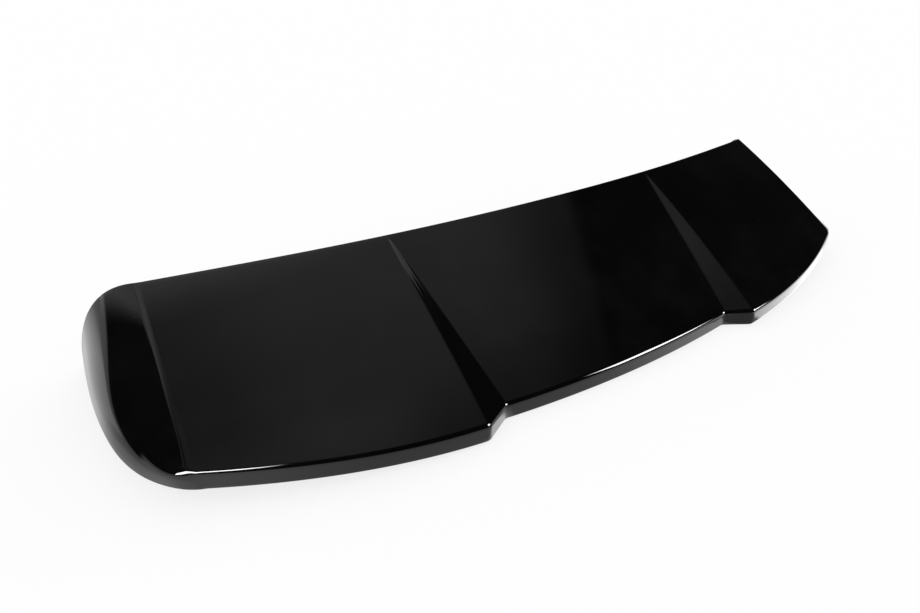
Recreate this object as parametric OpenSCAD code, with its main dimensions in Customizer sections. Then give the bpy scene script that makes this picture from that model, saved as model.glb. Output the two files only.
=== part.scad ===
// Roof spoiler for the tailgate of a car: one thin gloss black moulding, open underneath.
// It lies as it comes to rest on a flat floor, on the lower edges of its two end cheeks and
// on the lower edge of its trailing band. Units are millimetres.
// X runs across the car, Y forward to the roof and Z up. The origin is the middle of the
// floor area that the part covers.

/* [Overall] */
// distance between the two front corners of the top
top_w = 1120; // [1080:10:1200]
// height of the front corners above the floor
front_h = 170.5; // [150:0.5:190]
// thickness of the moulding
wall = 3; // [2.5:0.1:3.1]

/* [Front edge] */
// how far the middle of the front edge lies behind its corners
front_bow = 53; // [20:1:70]
// how far the middle of the front edge stands above its corners
front_rise = 3.5; // [0:0.5:10]

/* [Trailing edge] */
// distance between the two rear corners
tail_w = 1143; // [1060:1:1180]
// how far the rear corners lie behind the front corners
corner_back = 219.5; // [200:0.5:240]
// height of the top of the rear corners above the floor
corner_h = 49; // [45:0.5:65]
// height of the lower edge at the rear corners above the floor
corner_lift = 25; // [10:0.5:30]
// extra lift of the lower edge halfway between step and rear corner
edge_lift = 0.4; // [0:0.1:9]
// run of the trailing edge from step to rear corner seen from above, 0 curved to 1 straight
tail_sweep = 0.2; // [0:0.05:1]
// how far the trailing edge hangs under a straight line halfway from step to rear corner
tail_sag = 0.7; // [0:0.1:2]
// radius of the rear corners seen from above
corner_r = 8; // [6:0.5:12]
// half width of the rounding along the creases and the trailing edge
edge_round = 2.2; // [2:0.1:3]
// rounding of the lower edge
lower_round = 5; // [4:0.5:6]
// width of the lip turned in under the trailing band
tail_lip = 14; // [10:1:20]

/* [Recessed centre panel] */
// distance between the outer corners of the two steps
step_w = 495.5; // [440:0.5:540]
// how far the outer corners of the steps lie behind the front corners
step_back = 303.5; // [280:0.5:320]
// height of the trailing edge above the floor at the steps
step_h = 24.5; // [20:0.5:30]
// distance between the inner corners of the two steps
inner_w = 416; // [360:1:430]
// how far the trailing edge of the centre panel is set forward at its ends
step_in = 23; // [15:0.5:30]
// how far the middle of that edge lies behind its ends
mid_bow = 12.5; // [0:0.5:20]
// how far the trailing edge of the centre panel lies below the outer corners of the steps
mid_drop = 2; // [0:0.1:3]
// distance between the points of the two wedge facets at the front edge
apex_w = 493; // [440:1:540]
// width of each wedge facet at the front edge
apex_gap = 2; // [1:0.5:4]

/* [Camber] */
// rise of the top over a straight line from front to rear, along the creases
crease_camber = 4.6; // [2:0.1:8]
// the same along the outer edges of the wedge facets
wedge_camber = 4.2; // [1:0.1:6]
// the same along the inner edges of the wedge facets
inner_camber = 1.8; // [0:0.1:4]
// the same along the middle of the centre panel
mid_camber = 3; // [0:0.1:5]

/* [End cheeks] */
// how far the front end of a cheek stands outside the front corner
cheek_out = 84.5; // [70:0.5:95]
// how far the lower front end of a cheek lies ahead of the front corner
cheek_fwd = 139; // [100:1:150]
// how far the cheek bulges out over its lower edge, where it does so most
cheek_over = 11; // [6:0.5:13]
// slope of the cheek at its ends where it leaves the crease, drop over run
end_slope = 0.38; // [0.3:0.01:0.6]
// the same halfway along the crease
mid_slope = 0.615; // [0.5:0.005:0.8]
// share of the length where the cheek stands on the floor
cheek_foot = 0.59; // [0.5:0.01:0.7]
// width of the lower edge of a cheek, with its rounding
cheek_lip = 8.5; // [7:0.5:12]
// rounding of the lower edge of a cheek
cheek_round = 3.6; // [3.6:0.1:5]

/* [Hidden] */
// paint colour
gloss_black = [0.02, 0.02, 0.022];
// middle of the length, measured from the front corners
y_mid = (step_back - cheek_fwd) / 2;
// named corners of the right half, front corners at y = 0 and the floor at z = 0
front_c = [top_w / 2, 0, front_h];
rear_c = [tail_w / 2, -corner_back, corner_h];
step_o = [step_w / 2, -step_back, step_h];
step_i = [inner_w / 2, step_in - step_back, step_h - mid_drop];
// lengths used to measure roundings along the panel
side_len = (tail_w - step_w) / 2;
row_len = corner_back + 30;
// length along the crease over which the bulge of the cheek fades out at the rear corner
over_fade = 2 * corner_r;
// direction square to the top, from front to rear
fall = atan2(front_h - step_h, step_back - front_bow);
up = [0, -sin(fall), cos(fall)];

// a column of the top is a number from -3 to 3: to 1 on the centre panel, to 2 on the
// wedge facet and to 3 on the side panel, where 3 is the crease
half_cols = [0.17, 0.34, 0.51, 0.68, 0.85, 1, 1.5, 2, 2.07, 2.17, 2.27, 2.38, 2.49, 2.6,
             2.7, 2.79, 2.87, 2.93, 3 - corner_r / side_len, 3 - 0.6 * corner_r / side_len,
             3 - edge_round / side_len];
cols = [for (i = [len(half_cols) - 1:-1:0]) -half_cols[i], 0, each half_cols];
// a row runs from 0 at the front edge to 1 at the trailing edge
rows = [for (i = [0:10]) i / 10.9, 0.945, 1 - corner_r / row_len,
        1 - 0.6 * corner_r / row_len, 1 - edge_round / row_len];
nc = len(cols);
nr = len(rows);

function mix(a, b, t) = a + (b - a) * t;
function unit(v) = v / norm(v);
function turn_in(t) = [t.y, -t.x, 0] / norm([t.x, t.y]);
function flip(p, s) = [s * p.x, p.y, p.z];
function bow2(a, b, c, t) = a * (1 - t) ^ 2 + 2 * t * (1 - t) * b + c * t ^ 2;
function bow3(p, t) = p[0] * (1 - t) ^ 3 + 3 * t * (1 - t) ^ 2 * p[1]
    + 3 * t ^ 2 * (1 - t) * p[2] + p[3] * t ^ 3;

// front edge at distance x from the middle
function front_pt(x) = let (s = x / (top_w / 2))
    [x, -front_bow * (1 - s ^ 2.2), front_h + front_rise * (1 - s ^ 5)];
// distance from the middle at which column c starts on the front edge
function front_x(c) = let (a = (apex_w - apex_gap) / 2, b = (apex_w + apex_gap) / 2)
    c <= 1 ? a * c : c <= 2 ? mix(a, b, c - 1) : mix(b, top_w / 2, c - 2);
// trailing edge at column c
function tail_pt(c) =
    c <= 1 ? [step_i.x * c, step_i.y - mid_bow * (1 - c ^ 2), step_i.z]
    : c <= 2 ? mix(step_i, step_o, c - 1)
    : let (s = c - 2)
      [mix(step_o.x, rear_c.x, s), mix(step_o.y, rear_c.y, mix(s ^ 2, s, tail_sweep)),
       mix(step_o.z, rear_c.z, s) - tail_sag * 4 * s * (1 - s)];
function camber(c) = c <= 1 ? mix(mid_camber, inner_camber, c ^ 2)
    : c <= 2 ? mix(inner_camber, wedge_camber, c - 1) : mix(wedge_camber, crease_camber, c - 2);
function top_raw(c, v) = mix(front_pt(front_x(c)), tail_pt(c), v)
    + up * camber(c) * 4 * v * (1 - v);
// the same with the rear corner rounded as seen from above
function top_half(c, v) =
    let (x = 1 - (3 - c) * side_len / corner_r, y = 1 - (1 - v) * row_len / corner_r)
    x <= 0 || y <= 0 ? top_raw(c, v)
    : top_raw(3 - corner_r * (1 - x * sqrt(1 - y * y / 2)) / side_len,
              1 - corner_r * (1 - y * sqrt(1 - x * x / 2)) / row_len);
function top_pt(c, v) = flip(top_half(abs(c), v), c < 0 ? -1 : 1);

// The skirt runs round the top from the right front corner down the right crease, along the
// trailing edge and up the left crease. A station is [column, row] on the edge of the top.
stations = [for (v = rows) [3, v], [3, 1], for (i = [nc - 1:-1:0]) [cols[i], 1], [-3, 1],
            for (j = [nr - 1:-1:0]) [-3, rows[j]]];
ns = len(stations);
// index in the grid of the top that each station hangs from
function hang(k) = k < nr ? (nc - 1) * nr + k : k == nr ? nc * nr - 1
    : k <= nr + nc ? (nc + nr - k) * nr + nr - 1 : k == nr + nc + 1 ? nr - 1
    : ns - 1 - k;
function on_cheek(s) = abs(s[0]) == 3;
// how far the lower edge of the cheek stands outside the crease
function out_at(v) = cheek_out * max(0, 1 - v ^ 3) ^ 0.854;
// how far the cheek bulges out over its lower edge; it fades out towards the rear corner
function over_at(v) = let (w = max(0, 1 - v ^ 3), fade = min(1, (1 - v) * row_len / over_fade))
    fade * cheek_over * (w ^ 0.45 - w ^ 0.854) / 0.232;
function low_z(s) = let (a = abs(s[0]) - 2, f = max(0, (s[1] - cheek_foot) / (1 - cheek_foot)))
    on_cheek(s) ? corner_lift * f ^ 1.7
    : a <= 0 ? 0 : corner_lift * a + edge_lift * 4 * a * (1 - a);
function low_half(s) = let (t = top_raw(abs(s[0]), s[1]))
    on_cheek(s) ? [t.x + out_at(s[1]), t.y + cheek_fwd * (1 - s[1]), low_z(s)]
    : [t.x, t.y, low_z(s)];
// control points of the skirt from the edge of the top down to the lower edge
function skirt_half(s) = let (t = top_half(abs(s[0]), s[1]), b = low_half(s), h = t.z - b.z)
    !on_cheek(s) ? [t, mix(t, b, 1 / 3), mix(t, b, 2 / 3), b]
    : let (v = s[1], d = b - t, wide = d.x + over_at(v), reach = mix(0.862, 0.905, v) * wide,
           steep = max(0, 1 - wide / cheek_out) ^ 8,
           slope = mix(end_slope, mid_slope, 4 * v * (1 - v)))
      [t, t + [reach, 0.645 * d.y, -mix(reach * slope, h / 3, steep)],
       b + [over_at(v), -0.405 * d.y, mix(0.2, 0.825, v) * h], b];
skirts = [for (s = stations) [for (p = skirt_half(s)) flip(p, s[0] < 0 ? -1 : 1)]];
// direction square to the lower edge, pointing under the part, evened out at the rear corners
ins = [for (k = [0:ns - 1]) let (n = abs(stations[k][0]) > 2.8 ? 5 : 1)
    turn_in(skirts[min(k + n, ns - 1)][3] - skirts[max(k - n, 0)][3])];
// 1 on the trailing band, 0 on the foot of a cheek
function band_share(s) = on_cheek(s) ? max(0, (s[1] - cheek_foot) / (1 - cheek_foot)) : 1;

top_grid = [for (c = cols) [for (v = rows) top_pt(c, v)]];
// points of one station below the edge of the top: edge rounding, skirt, lower rounding, lip
function profile(k) =
    let (s = stations[k], q = skirts[k], n = ins[k], f = band_share(s),
         r = mix(cheek_round, lower_round, f), lip = mix(cheek_lip, tail_lip, f),
         h = hang(k), a = top_grid[floor(h / nr)][h % nr],
         w0 = edge_round / (3 * norm(q[1] - q[0])), w1 = 1 - r / (3 * norm(q[3] - q[2])),
         p0 = bow3(q, w0), p1 = bow3(q, w1))
    [for (t = [0.34, 0.67, 1]) bow2(a, q[0], p0, t),
     for (t = [0.1, 0.22, 0.36, 0.52, 0.68, 0.84, 1]) bow3(q, mix(w0, w1, t)),
     for (t = [0.34, 0.67, 1]) bow2(p1, q[3], q[3] + n * r, t),
     q[3] + n * lip];
skirt_grid = [for (k = [0:ns - 1]) profile(k)];
np = len(skirt_grid[0]);

// the inner surface lies one wall thickness inside the outer one
function ends(i, n) = [max(i - 1, 0), min(i + 1, n - 1)];
top_in = [for (i = [0:nc - 1]) [for (j = [0:nr - 1])
    let (a = ends(i, nc), b = ends(j, nr))
    top_grid[i][j] + wall * unit(cross(top_grid[a[1]][j] - top_grid[a[0]][j],
                                       top_grid[i][b[1]] - top_grid[i][b[0]]))]];
function edge_of(k, m) = m >= 0 ? skirt_grid[k][m]
    : let (h = hang(k)) top_grid[floor(h / nr)][h % nr];
// Direction to the inner surface at point m of station k. It is square to the surface on the
// cheeks, and lies in the upright plane square to the lower edge near the rear corners.
function to_inside(k, m) =
    let (a = ends(k, ns), d = edge_of(k, m + 1) - edge_of(k, m - 1),
         flat = unit(ins[k] * -d.z + [0, 0, d * ins[k]]),
         square = unit(cross(d, skirt_grid[a[1]][m] - skirt_grid[a[0]][m])))
    unit(mix(square, flat, band_share(stations[k])));
// points of one station of the inner surface, with a small rounding in the lower corner
function inner_profile(k) =
    let (q = skirts[k][3], n = ins[k], h = hang(k), a = top_in[floor(h / nr)][h % nr],
         f = band_share(stations[k]), r = mix(cheek_round, lower_round, f) - wall,
         lip = mix(cheek_lip, tail_lip, f), low = q + [0, 0, wall] + n * wall,
         inside = [for (m = [2:8]) skirt_grid[k][m] + wall * to_inside(k, m)])
    [mix(a, inside[0], 0.34), mix(a, inside[0], 0.67), each inside,
     for (t = [0.3, 0.55, 0.8, 1]) bow2(inside[6], low, low + n * r, t),
     q + [0, 0, wall] + n * lip];
skirt_in = [for (k = [0:ns - 1]) inner_profile(k)];

n_top = nc * nr;
n_all = n_top + ns * np;
function at_top(i, j) = i * nr + j;
// point m of station k, where 0 is the edge of the top
function at(k, m) = m == 0 ? hang(k) : n_top + k * np + m - 1;
function shift(f, d) = [for (i = f) i + d];
function back(f) = [for (i = [len(f) - 1:-1:0]) f[i]];
function quad(a, b, c, d) = a == b ? [[a, c, d]] : [[a, b, c], [a, c, d]];

outer = [
    for (i = [0:nc - 2], j = [0:nr - 2])
        each quad(at_top(i, j), at_top(i + 1, j), at_top(i + 1, j + 1), at_top(i, j + 1)),
    for (k = [0:ns - 2], m = [0:np - 1])
        each quad(at(k + 1, m), at(k, m), at(k, m + 1), at(k + 1, m + 1))];
// rim of the outer surface: front edge, both cheek ends and the edge of the lip
rim = [for (i = [0:nc - 1]) at_top(i, 0), for (m = [1:np]) at(0, m),
       for (k = [1:ns - 1]) at(k, np), for (m = [np - 1:-1:1]) at(ns - 1, m)];
nrim = len(rim);

module spoiler_shell() {
    color(gloss_black)
        translate([0, y_mid, 0])
            polyhedron(
                points = [for (c = top_grid) each c, for (s = skirt_grid) each s,
                          for (c = top_in) each c, for (s = skirt_in) each s],
                faces = [
                    each outer,
                    for (f = outer) shift(back(f), n_all),
                    for (i = [0:nrim - 1])
                        each let (a = rim[i], b = rim[(i + 1) % nrim])
                            quad(b, a, a + n_all, b + n_all)],
                convexity = 6);
}

spoiler_shell();
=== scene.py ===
"""Gloss black roof spoiler for a car, lying on a white floor as in the photograph."""
import math
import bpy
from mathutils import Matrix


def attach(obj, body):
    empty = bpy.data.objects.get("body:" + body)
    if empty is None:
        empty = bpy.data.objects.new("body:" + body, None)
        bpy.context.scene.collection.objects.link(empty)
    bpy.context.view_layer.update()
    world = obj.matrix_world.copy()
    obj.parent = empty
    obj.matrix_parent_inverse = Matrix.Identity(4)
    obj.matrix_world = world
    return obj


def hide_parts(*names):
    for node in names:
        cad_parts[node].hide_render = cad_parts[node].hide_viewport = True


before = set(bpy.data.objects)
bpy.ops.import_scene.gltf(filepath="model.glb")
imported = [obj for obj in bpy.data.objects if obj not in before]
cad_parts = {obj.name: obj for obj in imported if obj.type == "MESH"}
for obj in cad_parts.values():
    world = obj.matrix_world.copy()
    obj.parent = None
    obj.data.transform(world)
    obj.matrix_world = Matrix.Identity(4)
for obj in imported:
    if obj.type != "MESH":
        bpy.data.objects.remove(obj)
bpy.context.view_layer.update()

from types import SimpleNamespace

import bpy
import numpy as np
from mathutils import Matrix

# The moulding is built again here in millimetres, from the sizes and laws in part.scad, with a
# finer mesh. The roundings are this script's own, and the lines of the top are rounded too.

# overall, and the front edge
TOP_W = 1120.0
FRONT_H = 170.5
WALL = 3.0
FRONT_BOW = 53.0
FRONT_RISE = 3.5

# trailing edge and trailing band
TAIL_W = 1143.0
CORNER_BACK = 219.5
CORNER_H = 49.0
CORNER_LIFT = 25.0
EDGE_LIFT = 0.4
TAIL_SWEEP = 0.2
TAIL_SAG = 0.7
TAIL_LIP = 14.0

# recessed centre panel and wedge facets
STEP_W = 495.5
STEP_BACK = 303.5
STEP_H = 24.5
INNER_W = 416.0
STEP_IN = 23.0
MID_BOW = 12.5
MID_DROP = 2.0
APEX_W = 493.0
APEX_GAP = 2.0

# camber of the top along its lines
CREASE_CAMBER = 4.6
WEDGE_CAMBER = 4.2
INNER_CAMBER = 1.8
MID_CAMBER = 3.0

# end cheeks
CHEEK_OUT = 84.5
CHEEK_FWD = 139.0
CHEEK_OVER = 11.0
CHEEK_FOOT = 0.59
CHEEK_LIP = 8.5
END_SLOPE = 0.38
MID_SLOPE = 0.615

# laws of the curves
BOW_POWER = 2.2
RISE_POWER = 5
FOOT_POWER = 1.7
OUT_POWER = 0.854
OVER_POWER = 0.45
# largest difference between the two powers just above, which makes CHEEK_OVER a real length
OVER_PEAK = 0.232
STEEP_POWER = 8
# a cheek's curve leaves the crease with these shares of its width, at the front and at the
# rear, and with this share of its way forward
LEAVE_FRONT, LEAVE_REAR = 0.862, 0.905
LEAVE_FWD = 0.645
# it comes down on its lower edge from these shares of its height, at the front and at the rear,
# and from this share of its way forward
LAND_FRONT, LAND_REAR = 0.2, 0.825
LAND_BACK = 0.405

# roundings: of the corners seen from above, the creases, the trailing edge, the lower edges,
# the lines of the wedge facets and the bare rim of the wall
CORNER_R = 9.0
EDGE_ROUND = 5.5
TAIL_ROUND = 4.4
LOWER_ROUND = 3.6
LINE_ROUND = 4.5
# largest share of a wedge facet's width that one rounded line takes
LINE_SHARE = 0.38
RIM_BULGE = 0.8
# the skirt is evened out over this length at the rear corner, fading out over the reach
CORNER_SOFT = 8.0
CORNER_REACH = 40.0
# lengths along the rim over which its direction and the surface's direction are taken
INWARD_REACH = 12.0
ALONG_REACH = 8.0
# the inner surface follows the skirt down to this share of its height
INNER_SHARE = 0.84

Y_MID = (STEP_BACK - CHEEK_FWD) / 2
REAR = np.array([TAIL_W / 2, -CORNER_BACK, CORNER_H])
STEP_O = np.array([STEP_W / 2, -STEP_BACK, STEP_H])
STEP_I = np.array([INNER_W / 2, STEP_IN - STEP_BACK, STEP_H - MID_DROP])
SIDE_LEN = (TAIL_W - STEP_W) / 2
ROW_LEN = CORNER_BACK + 30
FALL = np.arctan2(FRONT_H - STEP_H, STEP_BACK - FRONT_BOW)
UP = np.array([0, -np.sin(FALL), np.cos(FALL)])
# the last column of the band, because the crease itself belongs to the cheek
BAND_END = 3 - 1e-9
# smallest step along the rim, so that no two stations share a place
MIN_STEP = 1e-3
# a point nearer than this to the plane of symmetry belongs to both halves
ON_MIDDLE = 1e-4

# numbers of points in the mesh
MID_COLS = 26
BEND_COLS = 7
WEDGE_COLS = 9
SIDE_COLS = 34
FINE_COLS = 9
ROWS = 44
FINE_ROWS = 8
FAN = 6
EDGE_RINGS = 6
SKIRT_RINGS = 26
LOW_RINGS = 6
RIM_RINGS = 6
# the mesh is finer within this share of a side panel's width, and of the top's length
FINE_SIDE = 0.12
FINE_REAR = 0.07

# colours, linear
PAINT = (0.0015, 0.0015, 0.0017)
DUST = (0.32, 0.31, 0.3)
PLASTIC_DARK = (0.012, 0.012, 0.013)
PLASTIC_PALE = (0.02, 0.02, 0.021)
# roughness of the paint, and what a film of dust and a single grain add to it
PAINT_ROUGH = 0.035
FILM_ROUGH = 0.03
GRAIN_ROUGH = 0.4
# share of the dust's colour in a film of it and in a single grain
FILM_COLOUR = 0.006
GRAIN_COLOUR = 0.25

# surroundings: the floor's colour, strengths of light, and places in metres
FLOOR_PAINT = 0.22
FLOOR_LIGHT = 0.775
LEFT_LAMP = 40.0
RIGHT_LAMP = 30.0
DARK = 0.012
FLOOR_HALF = 30
FLOOR_Z = -0.0005
MIRRORED_Z = -0.0002
SOFT_BOX = (-2.9, 5, -1.3, 5)
SOFT_BOX_Z = 2.0
DOME_R = 7

# camera, solved from the photograph: place in metres, angles in degrees, lengths in pixels
CAMERA_AT = (-0.59818, -0.70389, 0.54269)
CAMERA_YAW = 32.41
CAMERA_PITCH = 30.61
FOCAL_PX = 650
PHOTO_W_PX = 920
SENSOR_W = 36


def col(x):
    return np.asarray(x, float)[..., None]


def mix(a, b, t):
    return a + (b - a) * t


def xyz(x, y, z):
    return np.stack(np.broadcast_arrays(np.asarray(x, float), y, z), -1)


def unit(a):
    return a / np.maximum(np.linalg.norm(a, axis=-1, keepdims=True), 1e-12)


def mirror(p):
    return p * np.array([-1.0, 1.0, 1.0])


def bow2(a, b, c, t):
    return a * (1 - t) ** 2 + 2 * t * (1 - t) * b + c * t ** 2


def bow3(p, t):
    return (p[0] * (1 - t) ** 3 + 3 * t * (1 - t) ** 2 * p[1] + 3 * t ** 2 * (1 - t) * p[2]
            + p[3] * t ** 3)


# The right half of the top. A column c runs to 1 on the centre panel, to 2 on the wedge facet
# and to 3 on the side panel, where 3 is the crease. A row v runs from 0 at the front edge to 1
# at the trailing edge.

def front_pt(x):
    s = x / (TOP_W / 2)
    return xyz(x, -FRONT_BOW * (1 - s ** BOW_POWER), FRONT_H + FRONT_RISE * (1 - s ** RISE_POWER))


def front_x(c):
    """distance from the middle at which column c starts on the front edge"""
    a, b = (APEX_W - APEX_GAP) / 2, (APEX_W + APEX_GAP) / 2
    return np.where(c <= 1, a * c, np.where(c <= 2, mix(a, b, c - 1), mix(b, TOP_W / 2, c - 2)))


def tail_pt(c):
    """trailing edge at column c"""
    s = c - 2
    mid = xyz(STEP_I[0] * c, STEP_I[1] - MID_BOW * (1 - c ** 2), STEP_I[2])
    wedge = mix(STEP_I, STEP_O, col(c - 1))
    side = xyz(mix(STEP_O[0], REAR[0], s), mix(STEP_O[1], REAR[1], mix(s ** 2, s, TAIL_SWEEP)),
               mix(STEP_O[2], REAR[2], s) - TAIL_SAG * 4 * s * (1 - s))
    return np.where(col(c) <= 1, mid, np.where(col(c) <= 2, wedge, side))


def camber(c):
    """rise over a straight line from front to rear, halfway along column c"""
    return np.where(c <= 1, mix(MID_CAMBER, INNER_CAMBER, c ** 2),
                    np.where(c <= 2, mix(INNER_CAMBER, WEDGE_CAMBER, c - 1),
                             mix(WEDGE_CAMBER, CREASE_CAMBER, c - 2)))


def top_raw(c, v):
    """point of the top at column c and row v"""
    c, v = np.broadcast_arrays(np.asarray(c, float), np.asarray(v, float))
    return (mix(front_pt(front_x(c)), tail_pt(c), col(v))
            + UP * col(camber(c) * 4 * v * (1 - v)))


def top_half(c, v):
    """the same with the rear corner rounded as seen from above"""
    c, v = np.broadcast_arrays(np.asarray(c, float), np.asarray(v, float))
    x = np.maximum(1 - (3 - c) * SIDE_LEN / CORNER_R, 0)
    y = np.maximum(1 - (1 - v) * ROW_LEN / CORNER_R, 0)
    on = (x > 0) & (y > 0)
    c2 = np.where(on, 3 - CORNER_R * (1 - x * np.sqrt(1 - y * y / 2)) / SIDE_LEN, c)
    v2 = np.where(on, 1 - CORNER_R * (1 - y * np.sqrt(1 - x * x / 2)) / ROW_LEN, v)
    return top_raw(c2, v2)


def foot_share(v):
    """0 where a cheek stands on the floor, rising to 1 at the rear corner"""
    return np.maximum(0, (v - CHEEK_FOOT) / (1 - CHEEK_FOOT))


def out_and_over(v):
    """how far the lower edge of a cheek stands outside its crease, and the bulge over that edge"""
    w = np.maximum(1 - v ** 3, 0)
    return CHEEK_OUT * w ** OUT_POWER, CHEEK_OVER * (w ** OVER_POWER - w ** OUT_POWER) / OVER_PEAK


def skirt_half(c, v):
    """four control points of the skirt, from the edge of the top down to the lower edge"""
    c, v = np.broadcast_arrays(np.asarray(c, float), np.asarray(v, float))
    t, r = top_half(c, v), top_raw(c, v)
    cheek = c >= 3
    a = np.maximum(c - 2, 0)
    low = np.where(cheek, CORNER_LIFT * foot_share(v) ** FOOT_POWER,
                   np.where(c <= 2, 0, CORNER_LIFT * a + EDGE_LIFT * 4 * a * (1 - a)))
    out, over = out_and_over(v)
    b = xyz(r[..., 0] + np.where(cheek, out, 0),
            r[..., 1] + np.where(cheek, CHEEK_FWD * (1 - v), 0), low)
    h = t[..., 2] - b[..., 2]
    d = b - t
    wide = d[..., 0] + over
    steep = np.clip(1 - wide / CHEEK_OUT, 0, 1) ** STEEP_POWER
    reach = mix(LEAVE_FRONT, LEAVE_REAR, v) * wide
    slope = mix(END_SLOPE, MID_SLOPE, 4 * v * (1 - v))
    leave = t + xyz(reach, LEAVE_FWD * d[..., 1], -mix(reach * slope, h / 3, steep))
    land = b + xyz(over, -LAND_BACK * d[..., 1], mix(LAND_FRONT, LAND_REAR, v) * h)
    on_cheek = col(cheek)
    return np.stack([t, np.where(on_cheek, leave, mix(t, b, 1 / 3)),
                     np.where(on_cheek, land, mix(t, b, 2 / 3)), b])


def band_half(c, v):
    """skirt_half of the trailing band alone, with the control points on the last axis but one"""
    return np.moveaxis(skirt_half(np.minimum(c, BAND_END), v), 0, -2)


def columns(v):
    """Columns of the mesh at rows v: c before, at and after a rounded line, and t across it.

    A column that isn't on a rounded line has three times the same c."""
    v = np.asarray(v, float)
    mid_w = np.linalg.norm(top_raw(1.0, v) - top_raw(0.0, v), axis=-1)
    wedge_w = np.linalg.norm(top_raw(2.0, v) - top_raw(1.0, v), axis=-1)
    piece = 0.2
    side_w = np.linalg.norm(top_raw(2 + piece, v) - top_raw(2.0, v), axis=-1) / piece
    w = np.minimum(LINE_ROUND, LINE_SHARE * wedge_w)
    on_mid, on_wedge, on_side = w / mid_w, w / wedge_w, w / side_w
    end = 3 - EDGE_ROUND / SIDE_LEN
    corner = 1 - CORNER_R / SIDE_LEN
    side = np.concatenate([np.linspace(0, 1 - FINE_SIDE, SIDE_COLS),
                           np.linspace(1 - FINE_SIDE, corner, FINE_COLS)[1:],
                           np.linspace(corner, 1, FINE_COLS)[1:]])
    out = []

    def plain(c):
        out.append((c, c, c, np.zeros_like(v)))

    def bend(c, before, after):
        for t in np.linspace(0, 1, BEND_COLS)[1:-1]:
            out.append((c - before, np.full_like(v, c), c + after, np.full_like(v, t)))

    for u in np.linspace(0, 1, MID_COLS):
        plain(u * (1 - on_mid))
    bend(1.0, on_mid, on_wedge)
    for u in np.linspace(0, 1, WEDGE_COLS):
        plain(mix(1 + on_wedge, 2 - on_wedge, u))
    bend(2.0, on_wedge, on_side)
    for u in side:
        plain(mix(2 + on_side, end, u))
    return [np.array(q) for q in zip(*out)]


def on_columns(f, v):
    """f(c, v) at every column of the mesh, rounded across the lines of the top"""
    before, at, after, t = columns(v)
    v = np.broadcast_to(v, before.shape)
    first = f(before, v)
    t = t.reshape(t.shape + (1,) * (first.ndim - t.ndim))
    return bow2(first, f(at, v), f(after, v), t)


def ends_of(s, reach):
    """both ends of a window of this reach about each s, kept within s"""
    return np.maximum(s - reach, s[0]), np.minimum(s + reach, s[-1])


def at_ends(p, s, ends):
    """p, given at each s, taken at both ends of each window"""
    flat = p.reshape(len(s), -1)
    return [np.stack([np.interp(q, s, f) for f in flat.T], 1).reshape(p.shape) for q in ends]


def along(p, s, reach):
    """difference of p over a window along its first axis"""
    lo, hi = at_ends(p, s, ends_of(s, reach))
    return hi - lo


def soften(q, at):
    """the skirt's control points with their hang evened out along the rim near its corner"""
    s = np.concatenate([[0], np.cumsum(np.linalg.norm(np.diff(q[:, 0], axis=0), axis=1) + MIN_STEP)])
    near = np.clip(1 - np.abs(s - s[at]) / CORNER_REACH, 0, 1)
    ends = ends_of(s, CORNER_SOFT * near * (2 - near) + MIN_STEP)
    hang = q[:, 1:] - q[:, :1]
    steps = np.diff(s)[:, None, None]
    area = np.concatenate([0 * hang[:1], np.cumsum((hang[1:] + hang[:-1]) / 2 * steps, axis=0)])
    lo, hi = at_ends(area, s, ends)
    mean = (hi - lo) / (ends[1] - ends[0])[:, None, None]
    mean = np.where(near[:, None, None] > 0, mean, hang)
    return np.concatenate([q[:, :1], q[:, :1] + mean], 1)


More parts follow.
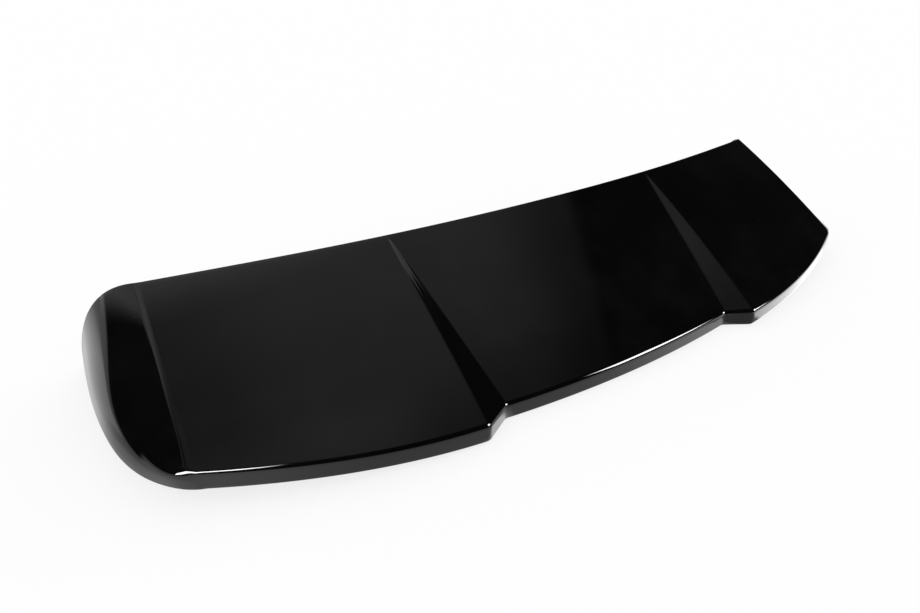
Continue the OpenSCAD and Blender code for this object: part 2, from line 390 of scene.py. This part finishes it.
def outer_half():
    """Outer surface of the right half: the grid of the top, the grid of the skirt and its rim.

    The skirt's stations run down the crease, round the corner and along the band to the middle.
    hang tells which point of the top each station hangs from."""
    fine = np.linspace(0, 1, FINE_ROWS)[1:]
    rows = 1 - np.concatenate([mix(1.0, FINE_REAR, np.linspace(0, 1, ROWS)),
                               mix(FINE_REAR, CORNER_R / ROW_LEN, fine),
                               mix(CORNER_R, TAIL_ROUND, fine) / ROW_LEN])
    top = on_columns(top_half, rows)
    nc, nr = top.shape[:2]
    fan = np.linspace(0, 1, FAN)
    side_rows = np.concatenate([rows, 1 - TAIL_ROUND / ROW_LEN * (1 - fan[1:])])
    side = skirt_half(3.0, side_rows)
    round_corner = skirt_half(BAND_END - EDGE_ROUND / SIDE_LEN * fan[1:-1], 1.0)
    band = on_columns(band_half, np.ones(1))[:, 0]
    q = np.concatenate([np.moveaxis(side, 0, 1), np.moveaxis(round_corner, 0, 1), band[::-1]])
    share = np.concatenate([foot_share(side_rows), np.ones(FAN - 2 + nc)])
    last = (nc - 1) * nr
    hang = np.concatenate([last + np.arange(nr), np.full(2 * FAN - 3, last + nr - 1),
                           np.arange(nc - 1, -1, -1) * nr + nr - 1])
    q = soften(q, FAN - 1 + nr - 1)

    # direction under the part, square to the lower edge, from the whole way round
    low_edge = np.concatenate([q[:, 3], mirror(q[::-1, 3][1:])])
    step = np.linalg.norm(np.diff(low_edge, axis=0), axis=1)
    s = np.concatenate([[0], np.cumsum(np.maximum(step, MIN_STEP))])
    t = along(low_edge, s, INWARD_REACH)
    inward = unit(np.stack([t[:, 1], -t[:, 0], 0 * t[:, 0]], -1))[:len(hang)]

    q = np.moveaxis(q, 1, 0)
    lip = mix(CHEEK_LIP, TAIL_LIP, share)
    w0 = mix(EDGE_ROUND, TAIL_ROUND, share) / (3 * np.linalg.norm(q[1] - q[0], axis=-1))
    w1 = 1 - LOWER_ROUND / (3 * np.linalg.norm(q[3] - q[2], axis=-1))
    p0, p1 = bow3(q, col(w0)), bow3(q, col(w1))
    edge = top.reshape(-1, 3)[hang]
    pts = [bow2(edge, q[0], p0, k) for k in np.linspace(0, 1, EDGE_RINGS + 1)[1:]]
    pts += [bow3(q, col(mix(w0, w1, k))) for k in np.linspace(0, 1, SKIRT_RINGS + 1)[1:]]
    pts += [bow2(p1, q[3], q[3] + inward * LOWER_ROUND, k)
            for k in np.linspace(0, 1, LOW_RINGS + 1)[1:]]
    pts += [q[3] + inward * col(lip)]
    rim = SimpleNamespace(hang=hang, share=share, s=s, low=q[3], inward=inward, lip=lip)
    return top, np.stack(pts, 1), rim


def inner_half(top, skirt, rim):
    """inner surface of the right half, one wall thickness inside the outer one"""
    across = np.gradient(np.concatenate([mirror(top[1:2]), top]), axis=0)[1:]
    across[0] = [1, 0, 0]
    top_in = top + WALL * unit(np.cross(across, np.gradient(top, axis=1)))

    # Square to the surface on the cheeks. On the band it lies in the upright plane square to the
    # lower edge.
    whole = np.concatenate([skirt, mirror(skirt[::-1][1:])])
    beside = along(whole, rim.s, ALONG_REACH)[:len(rim.hang)]
    edge = top.reshape(-1, 3)[rim.hang]
    down = np.gradient(np.concatenate([edge[:, None], skirt], 1), axis=1)[:, 1:]
    square = unit(np.cross(down, beside))
    inward = rim.inward[:, None]
    flat = unit(inward * -down[..., 2:]
                + np.array([0, 0, 1.0]) * (down * inward).sum(-1, keepdims=True))
    first = EDGE_RINGS - 1
    keep = 1 + int(INNER_SHARE * SKIRT_RINGS)
    inside = skirt + WALL * unit(mix(square, flat, rim.share[:, None, None]))
    inside = inside[:, first:first + keep]

    edge_in = top_in.reshape(-1, 3)[rim.hang]
    floor = rim.low + [0, 0, WALL]
    corner = floor + rim.inward * WALL
    remaining = skirt.shape[1] - first - keep - 1
    pts = [mix(edge_in, inside[:, 0], k) for k in np.linspace(0, 1, EDGE_RINGS + 1)[1:-1]]
    pts += list(np.moveaxis(inside, 1, 0))
    pts += [bow2(inside[:, -1], corner, corner + rim.inward * (LOWER_ROUND - WALL), k)
            for k in np.linspace(0, 1, remaining + 1)[1:]]
    pts += [floor + rim.inward * col(rim.lip)]
    return top_in, np.stack(pts, 1)


def quads(grid):
    """faces of a grid of point numbers"""
    return np.stack([grid[:-1, :-1], grid[1:, :-1], grid[1:, 1:], grid[:-1, 1:]],
                    -1).reshape(-1, 4)


def half_shell():
    """points, faces and numbers of outer, inner and rim faces of the right half"""
    top, skirt, rim = outer_half()
    top_in, skirt_in = inner_half(top, skirt, rim)
    points = np.concatenate([p.reshape(-1, 3) for p in (top, skirt, top_in, skirt_in)])
    nc, nr = top.shape[:2]
    ns, np_ = skirt.shape[:2]
    n_top = nc * nr
    n_outer = n_top + ns * np_
    on_top = np.arange(n_top).reshape(nc, nr)
    on_skirt = np.concatenate([rim.hang[:, None],
                               n_top + np.arange(ns * np_).reshape(ns, np_)], 1)
    outer = np.concatenate([quads(on_top)[:, ::-1], quads(on_skirt)])
    inner = outer[:, ::-1] + n_outer

    # the bare rim of the wall is a bullnose: front edge, front end of the cheek and lip
    bare = np.concatenate([on_top[:, 0], on_skirt[0, 1:], on_skirt[1:, -1]])
    next_in = np.concatenate([on_top[:, 1], on_skirt[1, 1:], on_skirt[1:, -2]])
    outside, inside = points[bare], points[bare + n_outer]
    path = np.concatenate([mirror(outside[1:2]), outside, mirror(outside[-2:-1])])
    out = unit(np.cross(path[2:] - path[:-2], inside - outside))
    out *= np.sign(((outside - points[next_in]) * out).sum(-1, keepdims=True))
    rings = [bare]
    for k in np.linspace(0, np.pi, RIM_RINGS + 1)[1:-1]:
        rings.append(len(points) + np.arange(len(bare)))
        ring = mix(outside, inside, (1 - np.cos(k)) / 2) + out * RIM_BULGE * np.sin(k)
        points = np.concatenate([points, ring])
    rings.append(bare + n_outer)
    edge = quads(np.stack(rings))[:, ::-1]
    return points, np.concatenate([outer, inner, edge]), (len(outer), len(inner), len(edge))


def whole_shell():
    """points and faces of the moulding, and for each face whether it is on the inner side"""
    points, faces, (n_outer, n_inner, n_edge) = half_shell()
    middle = np.abs(points[:, 0]) < ON_MIDDLE
    points[middle, 0] = 0
    number = np.arange(len(points))
    other = np.where(middle, number, len(points) + np.cumsum(~middle) - 1)
    points = np.concatenate([points, mirror(points[~middle])]) + np.array([0, Y_MID, 0])
    faces = np.concatenate([faces, other[faces][:, ::-1]])
    inner = np.repeat([0, 1, 0] * 2, [n_outer, n_inner, n_edge] * 2)
    return points, faces, inner


# materials

class Nodes:
    """Short names for building a node tree."""

    def __init__(self, tree):
        self.tree = tree

    def add(self, kind, **inputs):
        node = self.tree.nodes.new(kind)
        for name, v in inputs.items():
            self.put(node.inputs[name.replace("_", " ")], v)
        return node

    def put(self, socket, v):
        if isinstance(v, bpy.types.NodeSocket):
            self.tree.links.new(v, socket)
        else:
            socket.default_value = v

    def math(self, op, *args):
        node = self.tree.nodes.new("ShaderNodeMath")
        node.operation = op
        for socket, v in zip(node.inputs, args):
            self.put(socket, v)
        return node.outputs[0]

    def colours(self, share, a, b):
        """colour a where share is 0, b where it is 1"""
        node = self.tree.nodes.new("ShaderNodeMix")
        node.data_type = "RGBA"
        self.put(node.inputs[0], share)
        self.put(node.inputs[6], (*a, 1))
        self.put(node.inputs[7], (*b, 1))
        return node.outputs[2]

    def ramp(self, v, a, b, lo=0.0, hi=1.0):
        """lo below a, hi above b, smooth between them"""
        node = self.tree.nodes.new("ShaderNodeMapRange")
        node.interpolation_type = "SMOOTHSTEP"
        for i, x in enumerate((v, a, b, lo, hi)):
            self.put(node.inputs[i], x)
        return node.outputs[0]

    def box(self, v, a, b, soft):
        """1 between a and b, 0 outside, with edges of width soft either way"""
        return self.mul(self.ramp(v, a - soft, a + soft), self.ramp(v, b - soft, b + soft, 1.0, 0.0))

    def mul(self, *args):
        out = args[0]
        for v in args[1:]:
            out = self.math("MULTIPLY", out, v)
        return out

    def plus(self, *args):
        out = args[0]
        for v in args[1:]:
            out = self.math("ADD", out, v)
        return out

    def swap(self, a, b, share):
        """a where share is 0, b where it is 1"""
        return self.plus(a, self.mul(share, self.plus(b, self.mul(a, -1.0))))

    def surface(self, shader):
        self.put(self.add("ShaderNodeOutputMaterial").inputs["Surface"], shader.outputs[0])


def material(name):
    """a new material and its empty node tree"""
    mat = bpy.data.materials.new(name)
    mat.use_nodes = True
    mat.node_tree.nodes.clear()
    return mat, Nodes(mat.node_tree)


def gloss_black():
    mat, g = material("gloss_black")
    where = g.add("ShaderNodeTexCoord").outputs["Object"]
    bsdf = g.add("ShaderNodeBsdfPrincipled", IOR=1.5)
    # thin film of dust: a little colour and roughness in soft patches, and single grains
    patches = g.add("ShaderNodeTexNoise", Vector=where, Scale=9.0, Detail=4.0, Roughness=0.6)
    film = g.ramp(patches.outputs["Fac"], 0.42, 0.72)
    cells = g.add("ShaderNodeTexVoronoi", Vector=where, Scale=60.0, Randomness=1.0)
    in_grain = g.ramp(cells.outputs["Distance"], 0.014, 0.03, 1.0, 0.0)
    places = g.add("ShaderNodeTexNoise", Vector=where, Scale=7.0, Detail=1.0)
    grains = g.mul(in_grain, g.ramp(places.outputs["Fac"], 0.56, 0.6))
    dust = g.math("MINIMUM", g.plus(g.mul(film, FILM_COLOUR), g.mul(grains, GRAIN_COLOUR)), 1.0)
    g.put(bsdf.inputs["Base Color"], g.colours(dust, PAINT, DUST))
    g.put(bsdf.inputs["Roughness"],
          g.plus(PAINT_ROUGH, g.mul(film, FILM_ROUGH), g.mul(grains, GRAIN_ROUGH)))
    # faint ripple of a painted moulding
    fine = g.add("ShaderNodeTexNoise", Vector=where, Scale=260.0, Detail=2.0, Roughness=0.5)
    wide = g.add("ShaderNodeTexNoise", Vector=where, Scale=22.0, Detail=1.0)
    height = g.plus(g.mul(fine.outputs["Fac"], 0.12), wide.outputs["Fac"])
    bump = g.add("ShaderNodeBump", Strength=0.35, Distance=0.00012, Height=height)
    g.put(bsdf.inputs["Normal"], bump.outputs[0])
    g.surface(bsdf)
    return mat


def bare_plastic():
    mat, g = material("bare_plastic")
    where = g.add("ShaderNodeTexCoord").outputs["Object"]
    bsdf = g.add("ShaderNodeBsdfPrincipled")
    # soft streaks from the flow of the plastic
    flow = g.add("ShaderNodeTexNoise", Vector=where, Scale=14.0, Detail=5.0).outputs["Fac"]
    g.put(bsdf.inputs["Base Color"], g.colours(flow, PLASTIC_DARK, PLASTIC_PALE))
    g.put(bsdf.inputs["Roughness"], g.ramp(flow, 0.3, 0.7, 0.45, 0.6))
    grain = g.add("ShaderNodeTexNoise", Vector=where, Scale=900.0, Detail=3.0)
    bump = g.add("ShaderNodeBump", Strength=0.5, Distance=0.0001, Height=grain.outputs["Fac"])
    g.put(bsdf.inputs["Normal"], bump.outputs[0])
    g.surface(bsdf)
    return mat


# the moulding

def make_shell():
    points, quad_faces, inner = whole_shell()
    faces = [tuple(dict.fromkeys(int(i) for i in f)) for f in quad_faces]
    keep = [i for i, f in enumerate(faces) if len(f) > 2]
    mesh = bpy.data.meshes.new("spoiler")
    mesh.from_pydata((points / 1000).tolist(), [], [faces[i] for i in keep])
    mesh.materials.append(gloss_black())
    mesh.materials.append(bare_plastic())
    mesh.polygons.foreach_set("material_index", inner[keep].astype(np.int32))
    mesh.shade_smooth()
    # normals weighted by area, so that large faces stay true beside narrow roundings
    a, b, c, d = (points[quad_faces[:, i]] for i in range(4))
    square = np.cross(c - a, d - b)
    normals = np.zeros_like(points)
    for i in range(4):
        np.add.at(normals, quad_faces[:, i], square)
    mesh.normals_split_custom_set_from_vertices(unit(normals).tolist())
    shell = bpy.data.objects.new("spoiler", mesh)
    bpy.context.scene.collection.objects.link(shell)
    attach(shell, "root")
    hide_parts("spoiler_shell")


# surroundings: a white floor and, seen only in reflections, the lamps and dark walls of a studio

def plane(name, x0, x1, y0, y1, z):
    mesh = bpy.data.meshes.new(name)
    mesh.from_pydata([(x0, y0, z), (x1, y0, z), (x1, y1, z), (x0, y1, z)], [], [(0, 1, 2, 3)])
    ob = bpy.data.objects.new(name, mesh)
    bpy.context.scene.collection.objects.link(ob)
    return ob


def dome(name, radius):
    bpy.ops.mesh.primitive_uv_sphere_add(segments=64, ring_count=32, radius=radius)
    ob = bpy.context.object
    ob.name = name
    return ob


def only_reflected(ob):
    for way in ("camera", "diffuse", "transmission", "volume_scatter", "shadow"):
        setattr(ob, "visible_" + way, False)
    ob.visible_glossy = True


def glow(ob, strength):
    """emission whose strength is worked out from x, y, z of the point in metres"""
    mat, g = material(ob.name)
    where = g.add("ShaderNodeSeparateXYZ", Vector=g.add("ShaderNodeTexCoord").outputs["Object"])
    g.surface(g.add("ShaderNodeEmission", Strength=strength(g, *where.outputs)))
    mat.cycles.emission_sampling = "NONE"
    ob.data.materials.append(mat)
    only_reflected(ob)


def make_floor():
    """white floor: part of its light is paint, the rest is only for the eye and for reflections"""
    ob = plane("floor", -FLOOR_HALF, FLOOR_HALF, -FLOOR_HALF, FLOOR_HALF, FLOOR_Z)
    mat, g = material("floor")
    paint = g.add("ShaderNodeBsdfDiffuse", Color=(FLOOR_PAINT, FLOOR_PAINT, FLOOR_PAINT, 1))
    ray = g.add("ShaderNodeLightPath").outputs
    seen = g.math("MAXIMUM", ray["Is Camera Ray"], ray["Is Glossy Ray"])
    light = g.add("ShaderNodeEmission", Strength=g.mul(seen, FLOOR_LIGHT))
    both = g.add("ShaderNodeAddShader")
    g.put(both.inputs[0], paint.outputs[0])
    g.put(both.inputs[1], light.outputs[0])
    g.surface(both)
    mat.cycles.emission_sampling = "NONE"
    ob.data.materials.append(mat)


def ceiling(g, x, y, z):
    """soft box over the part: a wide panel, a stripe on its left and a dim patch on its right"""
    # the panel falls off to the left, to the right and to the rear
    across = g.mul(g.ramp(x, -1.05, -0.1, 0.15, 0.3), g.ramp(x, 0.65, 1.6, 1.0, 0.25))
    along_y = g.plus(g.ramp(y, -1.15, -0.35, 0.42, 1.0), g.ramp(y, -0.3, 0.2, 0.0, 0.2))
    # it brightens ahead of the part, and a little at its rear left
    ahead = g.ramp(y, 0.25, 0.95, 0.0, 0.85)
    rear = g.mul(g.ramp(x, 0.0, 0.6, 0.12, 0.0), g.ramp(y, -0.8, -0.45, 1.0, 0.0))
    inner = g.ramp(x, -1.22, -1.08)
    panel = g.mul(inner, g.ramp(x, 1.52, 1.68, 1.0, 0.0), g.plus(g.mul(across, along_y), ahead, rear))
    # the stripe starts where the panel ends, with a dark gap in its rear part
    gap = g.mul(g.box(x, -2.06, -1.8, 0.05), g.ramp(y, -0.3, 0.0, -0.8, 0.0))
    bright = g.ramp(y, -0.1, 0.7, 0.19, 0.68)
    outer = g.plus(x, g.ramp(y, -0.2, 0.5, 0.0, 0.4))
    stripe = g.mul(g.ramp(outer, -2.46, -2.28), g.plus(1.0, g.mul(inner, -1.0)), bright,
                   g.plus(1.0, gap))
    # the patch has a slanted rear edge
    slant = g.plus(y, g.mul(x, -0.32), 0.07)
    patch = g.mul(g.ramp(slant, -0.14, 0.04), g.box(x, 1.05, 3.4, 0.15),
                  g.ramp(y, 0.3, 0.9, 1.0, 0.75), 0.62)
    return g.plus(panel, stripe, patch, DARK)


def left_lamp(g, az, el):
    """lamp that shows as the highlight at the left rear corner, with an arm rising to one side"""
    slant = g.plus(el, g.mul(az, 1.55))
    arm = g.mul(g.ramp(az, -158, -147), g.ramp(az, -137, -135, 1.0, 0.0),
                g.box(slant, -197, -186, 2))
    return g.mul(g.plus(arm, g.mul(g.box(az, -136, -117, 1), g.box(el, 13, 26, 2))), LEFT_LAMP)


def right_lamp(g, az, el):
    """lamp that shows along the centre panel's trailing edge, cut off on a steep slant"""
    steep = g.ramp(g.plus(el, g.mul(az, -3.0)), -351, -345, 1.0, 0.0)
    return g.mul(g.box(az, 120.5, 143, 1), g.box(el, 16, 33, 2), steep, RIGHT_LAMP)


def walls(g, x, y, z):
    """dark walls with lit parts and lamps, by azimuth from +Y and by elevation in degrees"""
    az = g.math("DEGREES", g.math("ARCTAN2", x, y))
    flat = g.math("SQRT", g.plus(g.mul(x, x), g.mul(y, y)))
    el = g.math("DEGREES", g.math("ARCTAN2", z, flat))
    # on the left: a low lit strip over the floor, a lit wall over it and a slanted far one
    low = g.mul(g.box(az, -126, -38, 2), g.ramp(el, 2.3, 4.3, 0.4, 0.0))
    hill = g.mul(g.box(az, -114, -73, 3), g.ramp(el, 15, 21, 0.72, 0.0))
    lean = g.plus(el, g.mul(az, 1.32))
    far = g.mul(g.ramp(lean, -59.6, -55, 0.0, 0.42), g.box(az, -75, -5, 5),
                g.ramp(el, 50, 60, 1.0, 0.0))
    return g.plus(left_lamp(g, az, el), right_lamp(g, az, el), low, hill, far, DARK)


def floor_on_left(g, x, y):
    """the floor left of the part: shaded beside the foot of the cheek, and dimmer ahead"""
    edge = g.ramp(y, -0.16, 0.0, -0.58, -0.64)
    off = g.plus(edge, g.mul(x, -1.0))
    x_off, y_off = g.plus(x, 0.64), g.plus(y, 0.02)
    far_side = g.plus(g.mul(x_off, 0.53), g.mul(y_off, 0.85), 0.01)
    near_side = g.plus(g.mul(x_off, -0.37), g.mul(y_off, -0.93))
    across = g.math("MAXIMUM", g.ramp(far_side, 0.02, 0.11), g.ramp(near_side, 0.02, 0.13))
    ahead = g.plus(y, g.mul(x, 0.9), 0.54)
    left = g.mul(g.plus(0.54, g.mul(across, 0.54)), g.ramp(off, -0.01, 0.05, 0.45, 1.0),
                 g.ramp(ahead, 0.18, 0.48, 1.0, 0.38))
    under = g.ramp(off, -0.05, -0.01, 1.0, 0.0)
    return g.swap(left, 0.95, under)


def floor_behind(g, x, y):
    """the floor behind the part: brighter to the left, at the left step and right of the right step"""
    x_off, y_off = g.plus(x, -0.42), g.plus(y, 0.24)
    far_off = g.math("SQRT", g.plus(g.mul(x_off, x_off), g.mul(y_off, y_off)))
    pool = g.mul(g.ramp(far_off, 0.1, 0.5, 1.6, 0.0), g.ramp(x, 0.272, 0.284))
    right_step = g.mul(g.box(x, 0.208, 0.272, 0.004), g.ramp(y, -0.214, -0.208, 1.0, 0.0), -0.72)
    left_step = g.mul(g.box(x, -0.252, -0.198, 0.008), g.ramp(y, -0.23, -0.219), 1.15)
    rear = g.plus(g.ramp(x, -0.6, -0.38, 1.08, 0.72), g.ramp(x, -0.12, 0.18, 0.0, 0.5),
                  right_step, left_step, pool)
    return g.mul(rear, g.ramp(y, -0.8, -0.26, 0.25, 1.0))


def mirrored_floor(g, x, y, z):
    """the floor as it shows in reflections, with a soft change behind the trailing edge"""
    back = g.ramp(y, -0.16, -0.12, 1.0, 0.0)
    return g.swap(floor_on_left(g, x, y), floor_behind(g, x, y), back)


def make_world():
    """even white light, left out of reflections"""
    world = bpy.data.worlds.new("world")
    bpy.context.scene.world = world
    world.use_nodes = True
    sky = world.node_tree.nodes["Background"].inputs
    sky["Color"].default_value = (1, 1, 1, 1)
    sky["Strength"].default_value = 1.0
    world.cycles_visibility.glossy = False


def make_camera():
    """camera, as the photograph was taken"""
    yaw, pitch = math.radians(CAMERA_YAW), math.radians(CAMERA_PITCH)
    ahead = np.array([math.sin(yaw) * math.cos(pitch), math.cos(yaw) * math.cos(pitch),
                      -math.sin(pitch)])
    right = np.array([math.cos(yaw), -math.sin(yaw), 0])
    above = np.cross(right, ahead)
    pose = np.eye(4)
    pose[:3] = np.stack([right, above, -ahead, CAMERA_AT], -1)
    camera = bpy.data.objects.new("camera", bpy.data.cameras.new("camera"))
    bpy.context.scene.collection.objects.link(camera)
    camera.matrix_world = Matrix(pose.tolist())
    camera.data.sensor_fit = "HORIZONTAL"
    camera.data.sensor_width = SENSOR_W
    camera.data.lens = FOCAL_PX / PHOTO_W_PX * SENSOR_W
    camera.data.clip_start, camera.data.clip_end = 0.01, 200
    bpy.context.scene.camera = camera
    bpy.context.scene.view_settings.view_transform = "Standard"


make_shell()
make_floor()
glow(plane("soft_box", *SOFT_BOX, SOFT_BOX_Z), ceiling)
glow(plane("mirrored_floor", -FLOOR_HALF, FLOOR_HALF, -FLOOR_HALF, FLOOR_HALF, MIRRORED_Z),
     mirrored_floor)
glow(dome("dark_walls", DOME_R), walls)
make_world()
make_camera()

bpy.context.view_layer.update()
